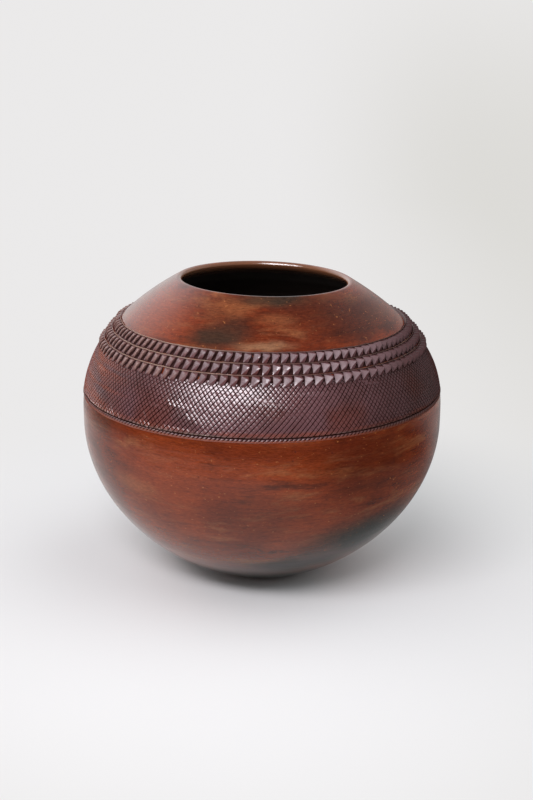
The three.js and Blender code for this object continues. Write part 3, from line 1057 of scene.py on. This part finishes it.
def cut_lines(total, parts, seed):
    """Numbers and azimuths of the mesh lines that follow one set of cut lines round the pot."""
    whole = np.arange(total * len(parts) + 1)
    exact = whole // len(parts) + np.array(parts)[whole % len(parts)]
    azimuth = exact * TURN / total
    return exact, azimuth + LINE_STRAY / total * TURN * waver(azimuth, 0.0, seed, LINE_WAVES)


def corners(grid):
    """The four corners of each cell of a grid."""
    return grid[:-1, :-1], grid[1:, :-1], grid[1:, 1:], grid[:-1, 1:]


def band_grid(sizes, width, radius):
    """The band's mesh, laid along the crossing lines: each point's numbers on both sets of lines, its share
    of the way up and its azimuth, and the faces."""
    stripe, stripe_at = cut_lines(sizes.stripes, STRIPE_PARTS, 2.0)
    crossing, crossing_at = cut_lines(sizes.crossings, CROSSING_PARTS, 5.0)
    slope = sizes.stripe_slope + sizes.slope_wander * waver(stripe_at, 0.0, 3.1, SLOPE_WAVES)
    stripe_run = width / np.tan(slope) / radius
    crossing_run = width / math.tan(sizes.crossing_slope) / radius

    # The crossing lines run on past one turn, to meet the last of the leaning stripes
    many = len(CROSSING_PARTS) * sizes.crossings
    columns = many + many // 6
    lap, index = np.divmod(np.arange(columns), many)
    crossing_all = crossing[index] + lap * sizes.crossings
    crossing_at = crossing_at[index] + lap * TURN
    climb = (crossing_at[None, :] - stripe_at[:, None]) / (stripe_run + crossing_run)[:, None]
    inside = np.clip(climb, 0, 1)
    azimuth = stripe_at[:, None] + inside * stripe_run[:, None]
    outside = np.logical_and.reduce(corners(climb <= 0)) | np.logical_and.reduce(corners(climb >= 1))
    i, j = np.nonzero(~outside)
    first = i * columns + j
    faces = np.stack([first, first + columns, first + columns + 1, first + 1], axis=1)
    used, faces = np.unique(faces, return_inverse=True)
    numbers = stripe[used // columns], crossing_all[used % columns]
    return *numbers, inside.ravel()[used], azimuth.ravel()[used], faces.reshape(-1, 4)


def band_paint(climb, azimuth):
    """How deep the fine lines are, how open all lines are, where the lower edge is worn with a painted
    highlight, and where the clay keeps its skin, with painted light added on the left.
    """
    patch = waver(azimuth, 0.8 * climb, 4.2, PATCH_WAVES)
    near = np.remainder(azimuth + math.pi, TURN) - math.pi
    # The fine lines are faint in front, over one wave of the cosine
    calm = np.clip(np.cos(1.8 * near), 0, 1) * (np.abs(near) < 0.87) * (1 - 0.45 * climb)
    crossed = np.clip(0.95 + 0.4 * patch - 0.90 * calm, 0.15, 1.1)
    opened = np.clip((1 - climb) / 0.05, 0, 1) * np.clip(1.15 - 1.6 * (patch > 0.55) * climb, 0.2, 1)
    # The band's lower edge: worn, with a painted highlight
    worn = np.clip(1 - climb / 0.03, 0, 1) * np.clip(0.3 + patch, 0, 1)
    skin = np.clip(1 - climb / 0.15, 0, 1) * np.clip(0.2 - patch, 0, 1)
    # Orange skin over the left side round to the back: partly the clay's own skin, partly painted light on
    # the side the lamp lights
    left_skin_and_light = np.clip((-0.75 - near) / 0.35, 0, 1) * np.clip((near + 2.6) / 0.6, 0, 1)
    skin = np.clip(skin + 0.85 * left_skin_and_light * np.clip(0.5 + patch, 0, 1), 0, 1)
    return crossed, opened, worn, skin


def band_sheet(points, outward, values, faces, depth):
    """The band's mesh with its paint, its edges turned down by a depth and joined behind."""
    sheet = bmesh.new()
    layers = [sheet.verts.layers.float.new(name) for name in BAND_PAINT]
    arrow = sheet.verts.layers.float_vector.new("outward")
    made = []
    for point, out, value in zip(points, outward, values):
        vertex = sheet.verts.new(point)
        for layer, amount in zip(layers, value):
            vertex[layer] = amount
        vertex[arrow] = out
        made.append(vertex)
    for face in faces:
        sheet.faces.new([made[k] for k in face])
    bmesh.ops.remove_doubles(sheet, verts=sheet.verts, dist=0.01 * MM)
    rim = [e for e in sheet.edges if e.is_boundary]
    grown = bmesh.ops.extrude_edge_only(sheet, edges=rim)["geom"]
    for vertex in (g for g in grown if isinstance(g, bmesh.types.BMVert)):
        vertex.co -= Vector(vertex[arrow]) * depth
        vertex[layers[BAND_PAINT.index("open")]] = 0.0
    back = [e for e in sheet.edges if e.is_boundary]
    bmesh.ops.bridge_loops(sheet, edges=back)
    bmesh.ops.recalc_face_normals(sheet, faces=sheet.faces)
    mesh = bpy.data.meshes.new("hatched_band")
    sheet.to_mesh(mesh)
    sheet.free()
    return mesh


class BandBuilder(bpy.types.Operator):
    """Builds the hatched band, its mesh laid along the crossing lines"""

    bl_idname = "beer_pot.add_hatched_band"
    bl_label = "Hatched Band"

    def execute(self, context):
        pot = context.scene.beer_pot
        sizes = pot.hatching
        outline = Outline(pot.wall)
        marks = landmarks(pot, outline)
        start, end = marks["band_start"], marks["band_end"]
        radius = outline.place((start + end) / 2)[0]
        stripe, crossing, climb, azimuth, faces = band_grid(sizes, end - start, radius)
        distance = start + climb * (end - start)
        edge = np.clip(climb / EDGE_SHARE, 0, 1)
        proud = sizes.proud * np.sqrt(edge) - EDGE_TUCK * (1 - edge)
        section = outline.at(distance, proud)
        outward = around(outline.at(distance, proud + 1 * MM) - section, azimuth) / MM
        values = np.stack([stripe, crossing, *band_paint(climb, azimuth)], axis=1)
        mesh = band_sheet(around(section, azimuth), outward, values, faces, sizes.bed + BED_EDGE)
        band = new_object("hatched_band", mesh)
        bake_nodes(band, hatching_tree(), {
            "Stripe Depth": sizes.stripe_depth, "Crossing Depth": sizes.crossing_depth,
            "Stripe Width": STRIPE_PARTS[1], "Crossing Width": CROSSING_PARTS[1],
            "Swelling": 2 * sizes.swelling})
        write_points(band.data, settle(read_points(band.data), pot.wall))
        shade(band.data, sharp=30)
        finish_piece(band, "carved_clay", "hatched_coil")
        return {"FINISHED"}


# The nicked lip under the band: rows run up the wall, as (share of its width, proud in mm, nick depth in mm,
# how far the belly's colour gives way to the band's)
LIP_ROWS = ((0.00, -0.5, 0.0, 0.0), (0.06, 0.02, 0.0, 0.0), (0.30, 0.16, 0.12, 0.1), (0.52, 0.34, 0.70, 0.6),
            (0.74, 0.36, 1.00, 1.0), (0.93, 0.05, 0.70, 1.0), (1.00, -0.65, 0.0, 1.0), (1.10, -2.0, 0.0, 1.0))
# Along one nick, as (share of the gap between two, share of the nick's depth)
LIP_STOPS = ((0.0, 0.0), (0.22, 0.0), (0.40, 1.0), (0.60, 1.0), (0.78, -0.25), (1.0, 0.0))
# How far a nick slants over the lip's width, in gaps
NICK_SLANT = 0.9


class BorderBuilder(bpy.types.Operator):
    """Builds the nicked lip that borders the band"""

    bl_idname = "beer_pot.add_nicked_border"
    bl_label = "Nicked Border"

    def execute(self, context):
        pot = context.scene.beer_pot
        sizes = pot.hatching
        outline = Outline(pot.wall)
        start = landmarks(pot, outline)["border"]
        points, sunk, worn, skin = [], [], [], []
        for up, proud, nick, carved in LIP_ROWS:
            for along, share in LIP_STOPS:
                section = outline.at(start + up * sizes.lip, (proud - nick * share) * MM)
                points.append(around(section, (along + NICK_SLANT * (up - 0.5)) * TURN / sizes.nicks))
                # Painted shade in the nicks and on the step under the band
                sunk.append(max(0.0, share) * min(1.0, 2 * nick) if up < 1 else 1.0)
                # The burr beside each nick: worn, with a painted highlight
                worn.append(max(0.0, -share) * 1.4 * (nick > 0.2))
                skin.append(1.0 - carved)
        faces = [(a, d, c, b) for a, b, c, d in ring_faces(len(LIP_ROWS), len(LIP_STOPS))]
        lip = mesh_object("nicked_border", points, faces)
        paint(lip.data, sunk=sunk, worn=worn, skin=skin)
        name_kinds(lip.data, [0] * len(points))
        bake_nodes(lip, ring_tree(), {
            "Count": sizes.nicks, "Stray": 0.5 * MM, "Grain": 120.0, "Seed": 9.0})
        write_points(lip.data, settle(read_points(lip.data), pot.wall))
        shade(lip.data)
        finish_piece(lip, "carved_clay", "hatched_coil")
        return {"FINISHED"}


# The floor's half width, and where its backdrop stands, how round it bends up and how high it ends
FLOOR_REACH = 4.0
BACKDROP_AWAY = 2.6
BACKDROP_BEND = 0.5
BACKDROP_TOP = 0.9
# The window lamp's width and height, its colour and the point that it faces
LAMP_SIZE = (1.3, 0.32)
LAMP_TINT = (0.98, 0.94, 1.0)
LAMP_TARGET = Vector((0.0, 0.0, 0.12))
# The photograph's width and height in pixels, and the width of the camera's sensor in millimetres
IMAGE_SIZE = (533, 800)
SENSOR_WIDTH = 36.0


class StudioBuilder(bpy.types.Operator):
    """Builds the pale floor and backdrop, the soft lamp, the light of the room and the camera"""

    bl_idname = "beer_pot.add_studio"
    bl_label = "Studio"

    def execute(self, context):
        scene = context.scene
        studio = scene.beer_pot.studio
        foot = BACKDROP_AWAY - BACKDROP_BEND
        sweep = [(-FLOOR_REACH, 0.0), (foot, 0.0)]
        sweep += [(foot + BACKDROP_BEND * math.sin(a), BACKDROP_BEND - BACKDROP_BEND * math.cos(a))
                  for a in np.linspace(0, math.pi / 2, 16)[1:]]
        sweep += [(BACKDROP_AWAY, BACKDROP_TOP)]
        points = [(x, y, z) for y, z in sweep for x in (-FLOOR_REACH, FLOOR_REACH)]
        faces = [(2 * k, 2 * k + 1, 2 * k + 3, 2 * k + 2) for k in range(len(sweep) - 1)]
        floor = mesh_object("pale_floor", points, faces)
        floor.data.materials.append(plain_floor("pale_floor", studio))
        scene.world = room_light(studio)

        light = bpy.data.lights.new("window_lamp", "AREA")
        light.shape = "RECTANGLE"
        light.size, light.size_y = LAMP_SIZE
        light.energy = studio.key
        light.color = LAMP_TINT
        lamp = new_object("window_lamp", light)
        flat = studio.key_distance * math.cos(studio.key_rise)
        away = Vector((-flat * math.sin(studio.key_azimuth), -flat * math.cos(studio.key_azimuth),
                       studio.key_distance * math.sin(studio.key_rise)))
        lamp.location = LAMP_TARGET + away
        lamp.rotation_euler = (-away).to_track_quat("-Z", "Y").to_euler()

        camera = bpy.data.cameras.new("photo_camera")
        camera.lens = studio.lens
        camera.sensor_width = SENSOR_WIDTH
        camera.shift_x = (IMAGE_SIZE[0] / 2 - studio.axis_pixel) / IMAGE_SIZE[1]
        camera.clip_end = 20
        viewer = new_object("photo_camera", camera)
        viewer.location = (0.0, -studio.distance, studio.height)
        viewer.rotation_euler = (math.pi / 2 - studio.tilt, 0.0, 0.0)
        scene.camera = viewer
        scene.view_settings.view_transform = "Standard"
        return {"FINISHED"}


class BeerPotPanel(bpy.types.Panel):
    """Lists the steps that build the pot"""

    bl_idname = "VIEW3D_PT_beer_pot"
    bl_label = "Beer Pot"
    bl_space_type = "VIEW_3D"
    bl_region_type = "UI"
    bl_category = "Beer Pot"

    def draw(self, context):
        for builder, groups in STEPS:
            box = self.layout.box()
            box.operator(builder.bl_idname)
            for group in groups:
                settings = getattr(context.scene.beer_pot, group)
                for name in settings.__annotations__:
                    box.prop(settings, name)


# Each step with the groups of settings that the panel lists under it
STEPS = (
    (StudioBuilder, ("studio",)),
    (VesselBuilder, ("wall", "colours")),
    (RidgeBuilder, ("ridges",)),
    (BandBuilder, ("hatching",)),
    (BorderBuilder, ()),
)
GROUPS = (WallSizes, RidgeSizes, HatchingSizes, ClayColours, StudioSettings, BeerPot)
CLASSES = (*GROUPS, *(builder for builder, _ in STEPS), BeerPotPanel)


def register():
    for kind in CLASSES:
        bpy.utils.register_class(kind)
    bpy.types.Scene.beer_pot = PointerProperty(type=BeerPot)


def unregister():
    del bpy.types.Scene.beer_pot
    for kind in reversed(CLASSES):
        bpy.utils.unregister_class(kind)


def main():
    register()
    for builder, _ in STEPS:
        family, action = builder.bl_idname.split(".")
        getattr(getattr(bpy.ops, family), action)()


if __name__ == "__main__":
    main()
